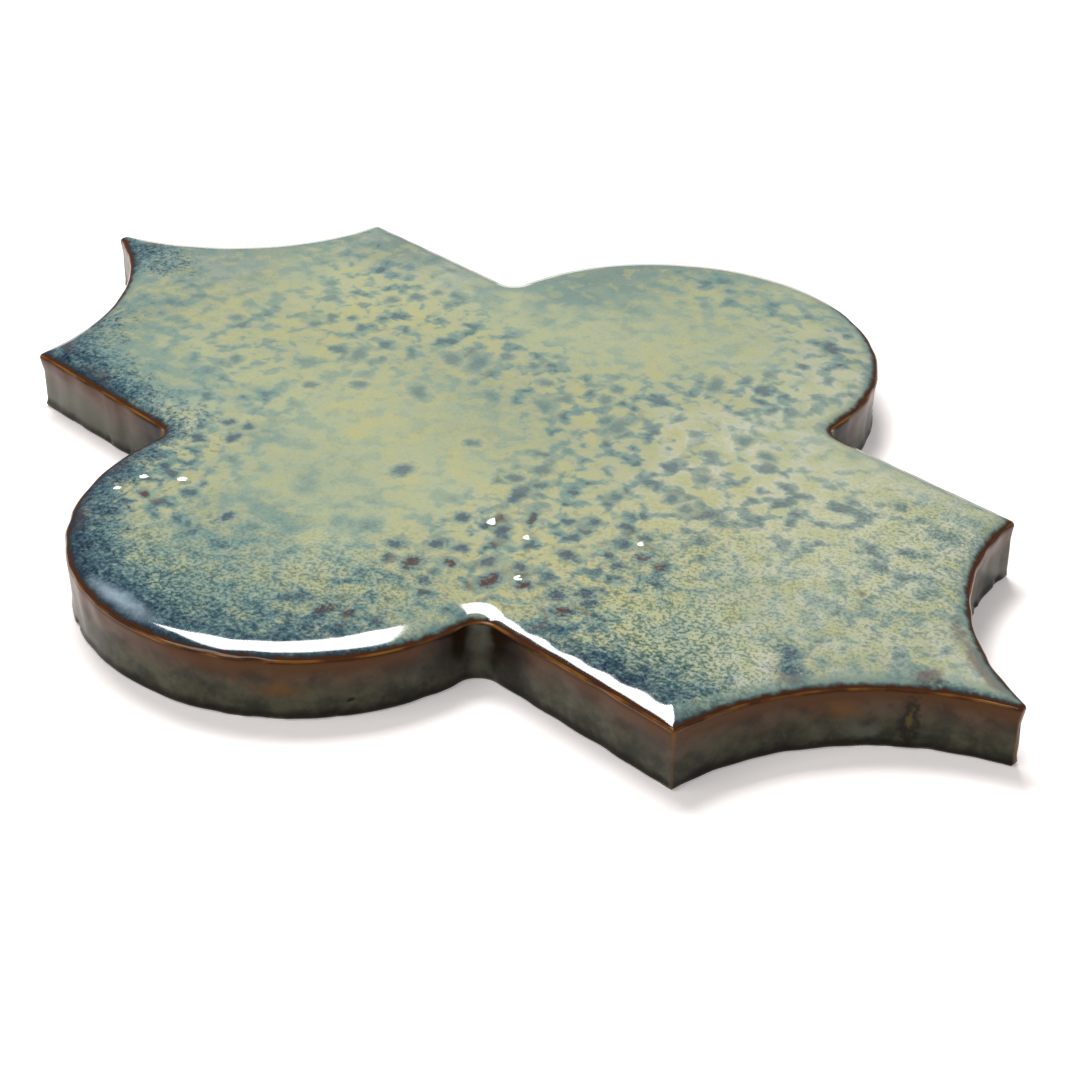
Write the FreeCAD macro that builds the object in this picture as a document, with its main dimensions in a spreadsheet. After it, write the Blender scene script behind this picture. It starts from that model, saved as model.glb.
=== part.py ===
"""Moroccan arabesque tile: one slab of stoneware, glazed over its face and its sides.

The tile is a bar with two parallel sides.  Half way along, each side swells into a lobe, a little over
half a circle.  Each end is cut by two hollow arcs that meet in a blunt tip, so that the lobe of a
neighbour fits into the hollow beside a tip.  The face is flat and falls away in a soft roll towards
the arris, the fine round edge where the face turns into the side.

Frame: millimetres, +Z up.  +X runs along the tile from tip to tip, +Y from lobe to lobe, and the
origin is the middle of the back, which lies on the ground.
"""

import FreeCAD, Part
import math
import os
import Sketcher

V = FreeCAD.Vector

# How a sketch numbers the points of a line or an arc, and its own axes, which start at its origin.
START, END, CENTRE = range(1, 4)
X_AXIS, Y_AXIS = range(-1, -3, -1)
ORIGIN = (X_AXIS, START)

# The driving dimensions, in millimetres.
SIZES = {
    "tile_length": 200.0,  # tip to tip
    "tile_width": 148.4,  # lobe to lobe
    "tile_thickness": 11.0,  # back to the flat of the face
    "neck_width": 75.0,  # between the two parallel sides
    "shoulder_span": 144.0,  # length of those sides, with the lobe between
    "lobe_radius": 35.5,
    "hollow_depth": 7.0,  # of an end arc, below the straight line from the shoulder to the tip
    "tip_width": 1.8,  # the flat of the blunt tip
    "tip_corner_radius": 0.8,
    "shoulder_corner_radius": 0.8,
    "inner_corner_radius": 3.0,  # in the corner between a side and its lobe
    "roll_width": 6.0,  # from the side to the flat of the face
    "roll_radius": 15.0,
    "arris_radius": 0.8,
    "foot_chamfer": 0.5,  # around the back
}

# Lengths that follow from the driving ones, as formulas of the spreadsheet's cells.
HALF_LENGTH = "(Sizes.tile_length / 2)"
HALF_SPAN = "(Sizes.shoulder_span / 2)"
HALF_NECK = "(Sizes.neck_width / 2)"
HALF_TIP = "(Sizes.tip_width / 2)"

# A lobe's circle reaches the tile's width, and it crosses the side at the inner corner.
LOBE_CENTRE = "(Sizes.tile_width / 2 - Sizes.lobe_radius)"
INNER_X = f"sqrt(Sizes.lobe_radius^2 - ({HALF_NECK} - {LOBE_CENTRE})^2)"

# The inner corner's own arc touches the side and the lobe from outside the tile.
CORNER_Y = f"({HALF_NECK} + Sizes.inner_corner_radius)"
CORNER_X = f"sqrt((Sizes.lobe_radius + Sizes.inner_corner_radius)^2 - ({CORNER_Y} - {LOBE_CENTRE})^2)"

# An end arc runs from the shoulder to the tip.  Its centre stands off the middle of that chord.
CHORD_X = f"({HALF_LENGTH} - {HALF_SPAN})"
CHORD_Y = f"({HALF_NECK} - {HALF_TIP})"
CHORD = f"sqrt({CHORD_X}^2 + {CHORD_Y}^2)"
ARC_RADIUS = f"({CHORD}^2 / (8 * Sizes.hollow_depth) + Sizes.hollow_depth / 2)"
STAND_OFF = f"({ARC_RADIUS} - Sizes.hollow_depth)"
ARC_CENTRE_X = f"(({HALF_LENGTH} + {HALF_SPAN}) / 2 + {STAND_OFF} * {CHORD_Y} / {CHORD})"
ARC_CENTRE_Y = f"(({HALF_NECK} + {HALF_TIP}) / 2 + {STAND_OFF} * {CHORD_X} / {CHORD})"

# The arris is tangent to the side, where it starts, and to the roll, which is tangent to the face.
ARRIS_RISE = (
    "sqrt((Sizes.roll_radius - Sizes.arris_radius)^2 - (Sizes.roll_width - Sizes.arris_radius)^2)"
)
ARRIS_START = f"(Sizes.tile_thickness - Sizes.roll_radius + {ARRIS_RISE})"

# The cuts for the rolls start outside the tile, by less than the inner corner's radius, and run on
# past the shoulders and the tips, where they meet in a mitre, by a roll's width.
OUTSIDE = "(Sizes.inner_corner_radius / 2)"
PATH_END = f"({HALF_SPAN} + Sizes.roll_width)"
PAST = f"(Sizes.roll_width / {ARC_RADIUS} * 180deg / pi)"
SWEEP_TO_TIP = f"asin(({ARC_CENTRE_Y} - {HALF_TIP}) / {ARC_RADIUS}) + {PAST}"
SWEEP_TO_SHOULDER = f"{PAST} - asin(({ARC_CENTRE_Y} - {HALF_NECK}) / {ARC_RADIUS})"


def make_sheet(doc):
    """The spreadsheet that holds the driving dimensions."""
    sheet = doc.addObject("Spreadsheet::Sheet", "Sizes")
    for row, (alias, value) in enumerate(SIZES.items(), start=1):
        sheet.set(f"A{row}", alias)
        sheet.set(f"B{row}", str(value))
        sheet.setAlias(f"B{row}", alias)
    doc.recompute()
    return sheet


def plane_of(body, role):
    """One of the body's own origin planes."""
    return next(f for f in body.Origin.OriginFeatures if f.Role == role)


def new_sketch(body, name, role):
    """A sketch of the body on one of its origin planes."""
    sketch = body.newObject("Sketcher::SketchObject", name)
    sketch.AttachmentSupport = [(plane_of(body, role), "")]
    sketch.MapMode = "FlatFace"
    return sketch


def value_of(sheet, formula):
    """What a formula comes to with the spreadsheet's sizes."""
    return float(sheet.evalExpression(formula))


def line(start, end):
    return Part.LineSegment(start, end)


def arc(centre, start, end):
    """The arc about centre that runs counterclockwise from start to end."""
    first = math.atan2(start.y - centre.y, start.x - centre.x)
    last = math.atan2(end.y - centre.y, end.x - centre.x)
    circle = Part.Circle(centre, V(0, 0, 1), start.distanceToPoint(centre))
    return Part.ArcOfCircle(circle, first, last if last > first else last + 2 * math.pi)


def tie(sketch, kind, *elements):
    """A constraint without a size, such as Coincident or Horizontal."""
    sketch.addConstraint(Sketcher.Constraint(kind, *elements))


def dimension(sketch, name, formula, kind, *elements):
    """A constraint whose size follows a formula of the spreadsheet's cells."""
    value = value_of(sketch.Document.Sizes, formula)
    number = sketch.addConstraint(Sketcher.Constraint(kind, *elements, value))
    sketch.renameConstraint(number, name)
    sketch.setExpression(f"Constraints.{name}", formula)


def outline_corners(sheet):
    """The corners of the outline's +X +Y quarter: at the tip, the shoulder and the inner corner."""
    half_neck = value_of(sheet, HALF_NECK)
    tip = V(value_of(sheet, HALF_LENGTH), value_of(sheet, HALF_TIP), 0)
    return tip, V(value_of(sheet, HALF_SPAN), half_neck, 0), V(value_of(sheet, INNER_X), half_neck, 0)


def draw_outline(body, sheet):
    """The tile's outline with sharp corners, counterclockwise from the blunt tip at +X: half of it on
    the +Y side, then the same half turned by 180 degrees."""
    tip, shoulder, inner = outline_corners(sheet)
    lobe_centre = V(0, value_of(sheet, LOBE_CENTRE), 0)
    arc_centre = V(value_of(sheet, ARC_CENTRE_X), value_of(sheet, ARC_CENTRE_Y), 0)

    def other_side(point):
        return V(-point.x, point.y, 0)

    half = [
        line(V(tip.x, -tip.y, 0), tip),
        arc(arc_centre, shoulder, tip),
        line(shoulder, inner),
        arc(lobe_centre, inner, other_side(inner)),
        line(other_side(inner), other_side(shoulder)),
        arc(other_side(arc_centre), other_side(tip), other_side(shoulder)),
    ]
    turned = [piece.copy() for piece in half]
    for piece in turned:
        piece.rotate(FreeCAD.Placement(V(0, 0, 0), V(0, 0, 1), 180))
    sketch = new_sketch(body, "Outline", "XY_Plane")
    sketch.addGeometry(half + turned, False)
    tip_1, arc_1, side_1, lobe_1, side_2, arc_2, tip_2, arc_3, side_3, lobe_2, side_4, arc_4 = range(12)

    # An end arc is counterclockwise about its own centre, outside the tile, so that it runs against
    # the outline: it is entered at its end and left at its start.
    end_arcs = (arc_1, arc_2, arc_3, arc_4)
    for piece in range(12):
        following = (piece + 1) % 12
        leaves = START if piece in end_arcs else END
        enters = END if following in end_arcs else START
        tie(sketch, "Coincident", piece, leaves, following, enters)
    for side in (side_1, side_2, side_3, side_4):
        tie(sketch, "Horizontal", side)
    for blunt_tip in (tip_1, tip_2):
        tie(sketch, "Symmetric", blunt_tip, START, blunt_tip, END, X_AXIS)
    tie(sketch, "Symmetric", side_1, START, side_4, END, X_AXIS)
    tie(sketch, "Symmetric", tip_1, END, tip_2, START, Y_AXIS)
    tie(sketch, "Symmetric", side_1, START, side_2, END, Y_AXIS)
    tie(sketch, "Symmetric", side_4, END, side_3, START, Y_AXIS)
    for lobe in (lobe_1, lobe_2):
        tie(sketch, "PointOnObject", lobe, CENTRE, Y_AXIS)

    dimension(sketch, "length", "Sizes.tile_length", "DistanceX", tip_2, START, tip_1, END)
    dimension(sketch, "tip", "Sizes.tip_width", "DistanceY", tip_1, START, tip_1, END)
    dimension(sketch, "span", "Sizes.shoulder_span", "DistanceX", side_2, END, side_1, START)
    dimension(sketch, "neck", "Sizes.neck_width", "DistanceY", side_4, END, side_1, START)
    dimension(sketch, "lobe_1_centre", LOBE_CENTRE, "DistanceY", *ORIGIN, lobe_1, CENTRE)
    dimension(sketch, "lobe_2_centre", LOBE_CENTRE, "DistanceY", lobe_2, CENTRE, *ORIGIN)
    for number, lobe in enumerate((lobe_1, lobe_2), start=1):
        dimension(sketch, f"lobe_{number}_radius", "Sizes.lobe_radius", "Radius", lobe)
    for number, end_arc in enumerate(end_arcs, start=1):
        dimension(sketch, f"end_arc_{number}_radius", ARC_RADIUS, "Radius", end_arc)
    return sketch


def edges_where(shape, wanted):
    """Names of the shape's edges that the given test picks."""
    return [f"Edge{number}" for number, edge in enumerate(shape.Edges, start=1) if wanted(edge)]


def round_corners(body, before, name, corner, radius):
    """A fillet on the four upright edges at one corner of the outline and its mirror images."""

    def at_corner(edge):
        middle = edge.CenterOfMass
        upright = edge.BoundBox.ZLength > before.Shape.BoundBox.ZLength / 2
        return upright and V(abs(middle.x), abs(middle.y), 0).distanceToPoint(corner) < 0.01

    fillet = body.newObject("PartDesign::Fillet", name)
    fillet.Base = (before, edges_where(before.Shape, at_corner))
    fillet.setExpression("Radius", radius)
    body.Document.recompute()
    return fillet


def make_slab(body, sheet):
    """The slab with its face still flat to the sides, its upright corners rounded and its back's edge
    chamfered."""
    slab = body.newObject("PartDesign::Pad", "Slab")
    slab.Profile = draw_outline(body, sheet)
    slab.setExpression("Length", "Sizes.tile_thickness")
    body.Document.recompute()
    tip, shoulder, inner = outline_corners(sheet)
    slab = round_corners(body, slab, "InnerCorners", inner, "Sizes.inner_corner_radius")
    slab = round_corners(body, slab, "ShoulderCorners", shoulder, "Sizes.shoulder_corner_radius")
    slab = round_corners(body, slab, "TipCorners", tip, "Sizes.tip_corner_radius")
    foot = body.newObject("PartDesign::Chamfer", "Foot")
    foot.Base = (slab, edges_where(slab.Shape, lambda edge: edge.BoundBox.ZMax < 0.01))
    foot.setExpression("Size", "Sizes.foot_chamfer")
    body.Document.recompute()


def draw_roll_section(sketch, wall, way):
    """The section of a roll's cut: all that lies above the arris and the roll, from outside the tile
    to where the face is flat.  The side of the tile stands wall, a formula, away from the sketch's
    upright axis, to the right of it where way is 1 and to the left where way is -1, and the tile
    lies to the left of that side."""
    sheet = sketch.Document.Sizes
    side_x = way * value_of(sheet, wall)
    start_z, top = value_of(sheet, ARRIS_START), sheet.tile_thickness
    outside = value_of(sheet, OUTSIDE)

    def at(inward, z):
        return V(side_x - inward, z, 0)

    side_top, face_edge = at(0, start_z), at(sheet.roll_width, top)
    arris_centre = at(sheet.arris_radius, start_z)
    roll_centre = at(sheet.roll_width, top - sheet.roll_radius)
    touch = roll_centre + (arris_centre - roll_centre).normalize() * sheet.roll_radius
    low, high = at(-outside, start_z), at(-outside, top + outside)
    above = at(sheet.roll_width, top + outside)
    sketch.addGeometry(
        [
            line(low, side_top),
            arc(arris_centre, side_top, touch),
            arc(roll_centre, touch, face_edge),
            line(face_edge, above),
            line(above, high),
            line(high, low),
        ],
        False,
    )
    floor, arris, roll, inner, ceiling, outer = range(6)
    tie(sketch, "Tangent", arris, END, roll, START)
    tie(sketch, "Coincident", floor, END, arris, START)
    for piece, following in ((roll, inner), (inner, ceiling), (ceiling, outer), (outer, floor)):
        tie(sketch, "Coincident", piece, END, following, START)
    for level in (floor, ceiling):
        tie(sketch, "Horizontal", level)
    for upright in (inner, outer):
        tie(sketch, "Vertical", upright)
    tie(sketch, "Horizontal", arris, START, arris, CENTRE)
    tie(sketch, "Vertical", roll, END, roll, CENTRE)
    dimension(sketch, "arris_radius", "Sizes.arris_radius", "Radius", arris)
    dimension(sketch, "roll_radius", "Sizes.roll_radius", "Radius", roll)
    dimension(sketch, "roll_width", "Sizes.roll_width", "DistanceX", roll, END, arris, START)
    dimension(sketch, "face", "Sizes.tile_thickness", "DistanceY", *ORIGIN, roll, END)
    dimension(sketch, "above", OUTSIDE, "DistanceY", inner, START, inner, END)
    dimension(sketch, "outside", OUTSIDE, "DistanceX", floor, END, floor, START)
    reach = (*ORIGIN, floor, END) if way > 0 else (floor, END, *ORIGIN)
    dimension(sketch, "wall", wall, "DistanceX", *reach)


def draw_side_path(body, sheet):
    """The way that the roll runs beside +Y: along the side, round the inner corner, round the lobe
    and back to the side."""
    half_neck, end_x = value_of(sheet, HALF_NECK), value_of(sheet, PATH_END)
    corner = V(value_of(sheet, CORNER_X), value_of(sheet, CORNER_Y), 0)
    lobe_centre = V(0, value_of(sheet, LOBE_CENTRE), 0)
    on_side = V(corner.x, half_neck, 0)
    on_lobe = lobe_centre + (corner - lobe_centre).normalize() * sheet.lobe_radius

    def other_side(point):
        return V(-point.x, point.y, 0)

    sketch = new_sketch(body, "SideRollPath", "XY_Plane")
    sketch.addGeometry(
        [
            line(V(end_x, half_neck, 0), on_side),
            arc(corner, on_lobe, on_side),
            arc(lobe_centre, on_lobe, other_side(on_lobe)),
            arc(other_side(corner), other_side(on_side), other_side(on_lobe)),
            line(other_side(on_side), V(-end_x, half_neck, 0)),
        ],
        False,
    )
    right_side, right_corner, lobe, left_corner, left_side = range(5)
    tie(sketch, "Tangent", right_side, END, right_corner, END)
    tie(sketch, "Tangent", right_corner, START, lobe, START)
    tie(sketch, "Tangent", lobe, END, left_corner, END)
    tie(sketch, "Tangent", left_corner, START, left_side, START)
    for side in (right_side, left_side):
        tie(sketch, "Horizontal", side)
    tie(sketch, "PointOnObject", lobe, CENTRE, Y_AXIS)
    dimension(sketch, "right_end", PATH_END, "DistanceX", *ORIGIN, right_side, START)
    dimension(sketch, "left_end", PATH_END, "DistanceX", left_side, END, *ORIGIN)
    dimension(sketch, "half_neck", HALF_NECK, "DistanceY", *ORIGIN, right_side, START)
    dimension(sketch, "lobe_centre", LOBE_CENTRE, "DistanceY", *ORIGIN, lobe, CENTRE)
    dimension(sketch, "lobe_radius", "Sizes.lobe_radius", "Radius", lobe)
    dimension(sketch, "right_corner_radius", "Sizes.inner_corner_radius", "Radius", right_corner)
    dimension(sketch, "left_corner_radius", "Sizes.inner_corner_radius", "Radius", left_corner)
    return sketch


def mirror(body, name, cut, *roles):
    """The cut again on the other side of each given origin plane."""
    copies = body.newObject("PartDesign::MultiTransform", name)
    steps = []
    for role in roles:
        step = body.newObject("PartDesign::Mirrored", f"{name}_{role}")
        step.MirrorPlane = (plane_of(body, role), [""])
        steps.append(step)
    copies.Originals = [cut]
    copies.Transformations = steps
    body.Tip = copies
    body.Document.recompute()


def roll_sides(body, sheet):
    """The roll along both parallel sides and round their lobes, swept along one side and mirrored."""
    section = new_sketch(body, "SideRollSection", "YZ_Plane")
    section.setExpression("AttachmentOffset.Base.z", PATH_END)
    draw_roll_section(section, HALF_NECK, 1)
    cut = body.newObject("PartDesign::SubtractivePipe", "SideRoll")
    cut.Profile = section
    cut.Spine = (draw_side_path(body, sheet), [])
    body.Document.recompute()
    mirror(body, "SideRolls", cut, "XZ_Plane")


def roll_ends(body):
    """The roll along the four hollow arcs, turned about one arc's centre and mirrored twice."""
    section = new_sketch(body, "EndRollSection", "XZ_Plane")
    section.setExpression("AttachmentOffset.Base.x", ARC_CENTRE_X)
    section.setExpression("AttachmentOffset.Base.z", f"-{ARC_CENTRE_Y}")
    draw_roll_section(section, ARC_RADIUS, -1)
    body.Document.recompute()
    cut = body.newObject("PartDesign::Groove", "EndRoll")
    cut.Profile = section
    cut.ReferenceAxis = (section, ["V_Axis"])
    cut.Type = "TwoAngles"
    cut.setExpression("Angle", SWEEP_TO_TIP)
    cut.setExpression("Angle2", SWEEP_TO_SHOULDER)
    body.Document.recompute()
    mirror(body, "EndRolls", cut, "XZ_Plane", "YZ_Plane")


def roll_tips(body):
    """The roll behind the flat of each blunt tip, cut across the tile and mirrored."""
    section = new_sketch(body, "TipRollSection", "XZ_Plane")
    draw_roll_section(section, HALF_LENGTH, 1)
    body.Document.recompute()
    cut = body.newObject("PartDesign::Pocket", "TipRoll")
    cut.Profile = section
    cut.Midplane = True
    cut.setExpression("Length", "Sizes.tip_width + 2 * Sizes.roll_width")
    body.Document.recompute()
    mirror(body, "TipRolls", cut, "YZ_Plane")


def check(doc, body):
    """Stops here if any object of the document failed or a feature has no sound solid."""
    for item in doc.Objects:
        if "Invalid" in item.State or "Error" in item.State:
            raise RuntimeError(f"{item.Name} did not build: {item.State}")
    for feature in body.Group:
        is_step = feature.isDerivedFrom("PartDesign::Mirrored")
        if not is_step and (feature.Shape.isNull() or not feature.Shape.isValid()):
            raise RuntimeError(f"{feature.Name} has no valid shape")
    if len(body.Shape.Solids) != 1:
        raise RuntimeError("The tile is not one solid")


doc = FreeCAD.newDocument("ArabesqueTile")
sheet = make_sheet(doc)
tile = doc.addObject("PartDesign::Body", "Tile")
tile.Label = "arabesque_tile"
make_slab(tile, sheet)
roll_sides(tile, sheet)
roll_ends(tile)
roll_tips(tile)
doc.recompute()
check(doc, tile)
print(f"{tile.Label}: {tile.Shape.Volume / 1000:.1f} cm3, {len(tile.Shape.Faces)} faces")
os.makedirs("parts", exist_ok=True)
tile.Shape.exportStep(f"parts/{tile.Label}.step")
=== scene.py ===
"""A handmade arabesque tile of glazed stoneware, lying face up on a white floor.

The part's own frame: +X from tip to tip, +Y from lobe to lobe, +Z up out of the glazed face, origin
in the middle of the back.  Shapes and patterns are worked out in millimetres, and the mesh itself is
in metres."""

import math

import bpy
import numpy as np
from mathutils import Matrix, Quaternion, Vector


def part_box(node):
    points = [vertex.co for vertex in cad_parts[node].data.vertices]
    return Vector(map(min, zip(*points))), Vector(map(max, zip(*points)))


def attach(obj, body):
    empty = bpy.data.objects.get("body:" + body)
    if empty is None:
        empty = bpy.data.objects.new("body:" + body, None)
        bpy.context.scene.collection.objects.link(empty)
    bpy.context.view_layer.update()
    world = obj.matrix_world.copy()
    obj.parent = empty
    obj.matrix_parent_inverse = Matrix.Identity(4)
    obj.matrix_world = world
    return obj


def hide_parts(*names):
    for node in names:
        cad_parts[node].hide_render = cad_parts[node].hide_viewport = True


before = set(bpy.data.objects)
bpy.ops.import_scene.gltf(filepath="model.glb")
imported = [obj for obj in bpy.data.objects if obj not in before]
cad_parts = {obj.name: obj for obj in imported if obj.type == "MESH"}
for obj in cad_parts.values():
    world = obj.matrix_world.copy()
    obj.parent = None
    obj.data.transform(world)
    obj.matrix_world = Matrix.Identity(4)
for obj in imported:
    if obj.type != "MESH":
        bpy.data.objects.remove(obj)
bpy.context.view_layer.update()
MM = 0.001

# Body of the tile
# One slab of stoneware, cut by hand: a bar with a round lobe on each side and ends cut by two hollow
# arcs.  The face rolls down to a fine arris, and the sides drop to a foot with a small chamfer.

NODE = "arabesque_tile"
low_corner, high_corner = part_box(NODE)
length, width, thickness = (high_corner - low_corner) / MM
neck_width = 75.0
shoulder_span = 144.0
lobe_radius = 35.5
hollow_depth = 7.0
tip_width = 1.8
corner_radius = 0.8  # at the tips and the shoulders
inner_radius = 3.0  # in the corner beside a lobe
roll_width, roll_radius = 6.0, 15.0
arris_radius = 0.8
foot_chamfer = 0.5

half_length, half_neck = length / 2, neck_width / 2
half_span, half_tip = shoulder_span / 2, tip_width / 2
lobe_centre = np.array([0.0, width / 2 - lobe_radius])
chord = np.array([half_length - half_span, half_neck - half_tip])
chord_length = np.hypot(*chord)
end_radius = chord_length**2 / (8 * hollow_depth) + hollow_depth / 2
end_centre = np.array([half_length + half_span, half_neck + half_tip]) / 2
end_centre += (end_radius - hollow_depth) / chord_length * chord[::-1]
inner_y = half_neck + inner_radius
inner_x = math.sqrt((lobe_radius + inner_radius) ** 2 - (inner_y - lobe_centre[1]) ** 2)
inner_centre = np.array([inner_x, inner_y])
column_spacing = 0.5  # between the points round the tile


def turn_to(start, end):
    """The angle of the way from start to end."""
    return math.atan2(end[1] - start[1], end[0] - start[0])


def arc(centre, radius, first, last, fewest=8):
    """Points on an arc and the normals that point away from its centre, without the last point."""
    count = max(fewest, round(abs(last - first) * radius / column_spacing))
    angle = first + (last - first) * np.arange(count) / count
    normal = np.stack([np.cos(angle), np.sin(angle)], 1)
    return centre + radius * normal, normal


def straight(start, end):
    """Points on a line and its normals, to the right of the way from start to end."""
    way = np.array(end) - start
    count = max(2, round(np.hypot(*way) / column_spacing))
    points = np.array(start) + way * (np.arange(count) / count)[:, None]
    normal = np.array([way[1], -way[0]]) / np.hypot(*way)
    return points, np.repeat(normal[None], count, 0)


def outline():
    """Points and outward normals all round the tile, counterclockwise from the tip at +X.  A quarter
    is a chain of lines and arcs, each tangent to the next, and the rest are its mirror images."""
    reach = end_radius + corner_radius
    tip_x = half_length - corner_radius
    tip_centre = np.array([tip_x, end_centre[1] - math.sqrt(reach**2 - (end_centre[0] - tip_x) ** 2)])
    shoulder_y = half_neck - corner_radius
    shoulder_x = end_centre[0] - math.sqrt(reach**2 - (end_centre[1] - shoulder_y) ** 2)
    shoulder_centre = np.array([shoulder_x, shoulder_y])
    at_tip, at_shoulder = turn_to(tip_centre, end_centre), turn_to(shoulder_centre, end_centre)
    at_lobe = turn_to(lobe_centre, inner_centre)
    hollow, hollow_normal = arc(end_centre, end_radius, at_tip + math.pi, at_shoulder + math.pi)
    inner, inner_normal = arc(inner_centre, inner_radius, 1.5 * math.pi, at_lobe + math.pi, 12)
    chain = [
        straight((half_length, 0), (half_length, tip_centre[1])),
        arc(tip_centre, corner_radius, 0, at_tip),
        (hollow, -hollow_normal),
        arc(shoulder_centre, corner_radius, at_shoulder, math.pi / 2),
        straight((shoulder_x, half_neck), (inner_centre[0], half_neck)),
        (inner, -inner_normal),
        arc(lobe_centre, lobe_radius, at_lobe, math.pi / 2),
    ]
    points, normals = (np.concatenate(part) for part in zip(*chain))
    points = np.concatenate([points, [[0.0, width / 2]], points[:0:-1] * [-1, 1]])
    normals = np.concatenate([normals, [[0.0, 1.0]], normals[:0:-1] * [-1, 1]])
    return np.concatenate([points, -points]), np.concatenate([normals, -normals])


def distances(points):
    """How far each point of the face is from the four kinds of side near it: the side with its lobe,
    the hollow arc, the hollow arc across the tip, and the flat of the tip.  The tile is folded into its
    +X +Y quarter.  Each kind counts as a whole line or circle, less the stretch that it lacks."""
    x, y = np.abs(points[..., 0]), np.abs(points[..., 1])
    slope = (inner_centre[1] - lobe_centre[1]) / inner_centre[0]
    beside_lobe = y - lobe_centre[1] > slope * x
    side = np.where(x > inner_centre[0], half_neck - y, np.inf)
    from_lobe = lobe_radius - np.hypot(x - lobe_centre[0], y - lobe_centre[1])
    side = np.minimum(side, np.where(beside_lobe, from_lobe, np.inf))
    side = np.minimum(side, np.hypot(x - inner_centre[0], y - inner_centre[1]) - inner_radius)
    hollow = np.hypot(x - end_centre[0], y - end_centre[1]) - end_radius
    across = np.hypot(x - end_centre[0], y + end_centre[1]) - end_radius
    return np.stack([side, hollow, across, half_length - x])


def waves(across, along, size, seed, count=12):
    """Smooth unevenness of about unit height: a sum of plane waves of random direction and phase, with
    wavelengths of 0.7 to 1.5 times size."""
    random = np.random.default_rng(seed)
    turn, phase = random.uniform(0, 2 * math.pi, (2, count))
    pitch = 2 * math.pi / (size * random.uniform(0.7, 1.5, count))
    total = np.zeros_like(across)
    for k in range(count):
        total += np.sin(pitch[k] * (across * math.cos(turn[k]) + along * math.sin(turn[k])) + phase[k])
    return total * math.sqrt(2 / count)


patch_fade = 0.7  # the exponent of a patch at its edge, where it has half its weight


def field(points, patches):
    """How strongly a list of patches covers each point.  A patch is x, y, half its width, half its
    height, its turn in degrees and its weight.  It fades as a Gaussian from its weight at its centre,
    and together the patches cover what none of them leaves bare."""
    bare = np.ones(points.shape[:-1])
    for x, y, half_wide, half_high, degrees, weight in patches:
        cos, sin = math.cos(math.radians(degrees)), math.sin(math.radians(degrees))
        dx, dy = points[..., 0] - x, points[..., 1] - y
        along, across = (dx * cos + dy * sin) / half_wide, (dy * cos - dx * sin) / half_high
        bare *= 1 - weight * np.exp(-patch_fade * (along**2 + across**2))
    return 1 - bare


ridge_softness = 0.12  # how far the glaze rounds the ridges where two rolls meet
wave_top = 2.0  # waves seldom rise above this, and taking it off keeps the tile inside its solid
swell, swell_size = 0.04, 45.0  # the glaze's slow unevenness
ripple, ripple_size = 0.006, 5.0  # and its finer one
tight_rolls = [(58, -38, 22, 8, 0, 0.5), (4, -70, 34, 10, 0, 0.3)]  # patches with a narrower roll
tight_lift = 0.35  # the share of its drop that a narrower roll lacks


def roll_drop(inward):
    """How far a circular roll that starts roll_width in from a side lies below the flat face."""
    past = np.clip(roll_width - inward, 0, None)
    return roll_radius - np.sqrt(roll_radius**2 - past**2)


def face_height(points):
    """The flat face less the rolls of the sides near it, joined by a soft maximum, less the glaze's
    slow swell and its finer ripple."""
    tight = field(points, tight_rolls)
    drops = roll_drop(distances(points) * (1 + tight)) * (1 - tight_lift * tight) / ridge_softness
    most = drops.max(0)
    soft = most + np.log(np.exp(drops - most).sum(0)) - math.log(len(drops)) * np.exp(-most)
    x, y = points[..., 0], points[..., 1]
    uneven = swell * (waves(x, y, swell_size, 3) - wave_top)
    uneven += ripple * (waves(x, y, ripple_size, 4) - wave_top)
    return thickness - ridge_softness * soft + np.minimum(uneven, 0)


face_rows, face_crowding = 50, 1.7  # rings from the middle out, closer together near the rim
arris_rows = 7
side_rows = 18
back_rows = 5
lump, lump_size = 0.08, 22.0  # the cut sides' slow unevenness
nick, nick_size = 0.05, 6.0  # and their finer one
waver, waver_size = 0.07, 6.0  # how the arris wavers
top_fade, foot_fade = 2.5, 1.5  # how far below its top and above its foot a side is fully uneven
chip, chip_size = 0.4, 5.0  # how the foot is chipped
chip_floor = 1.1  # only where the waves rise above this
deepest_mark = 0.5  # no lump or chip goes deeper into a side

# rings of points from the middle of the face out, over the arris, down the side and in under the back
arris_turn = math.acos((roll_width - arris_radius) / (roll_radius - arris_radius))
side_top = thickness - roll_radius + (roll_radius - arris_radius) * math.sin(arris_turn)
edge, edge_normal = outline()
column_count = len(edge)
run = np.r_[0, np.cumsum(np.hypot(*np.diff(edge, axis=0).T))]
wavering = waver * np.clip(waves(run, 0 * run, waver_size, 8) + 1, 0, None)
edge = edge - edge_normal * wavering[:, None]

rim = edge - edge_normal * (arris_radius * (1 - math.cos(arris_turn)))
spread = np.linspace(0, 1, face_rows + 1)[1:, None, None]
face = rim * (1 - (1 - spread) ** face_crowding)
face_z = face_height(face)

turn = arris_turn * np.linspace(1, 0, arris_rows + 1)[1:, None]
arris = edge - edge_normal * (arris_radius * (1 - np.cos(turn)))[..., None]
arris_z = side_top + (face_z[-1] - side_top) * np.sin(turn) / math.sin(arris_turn)

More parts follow.
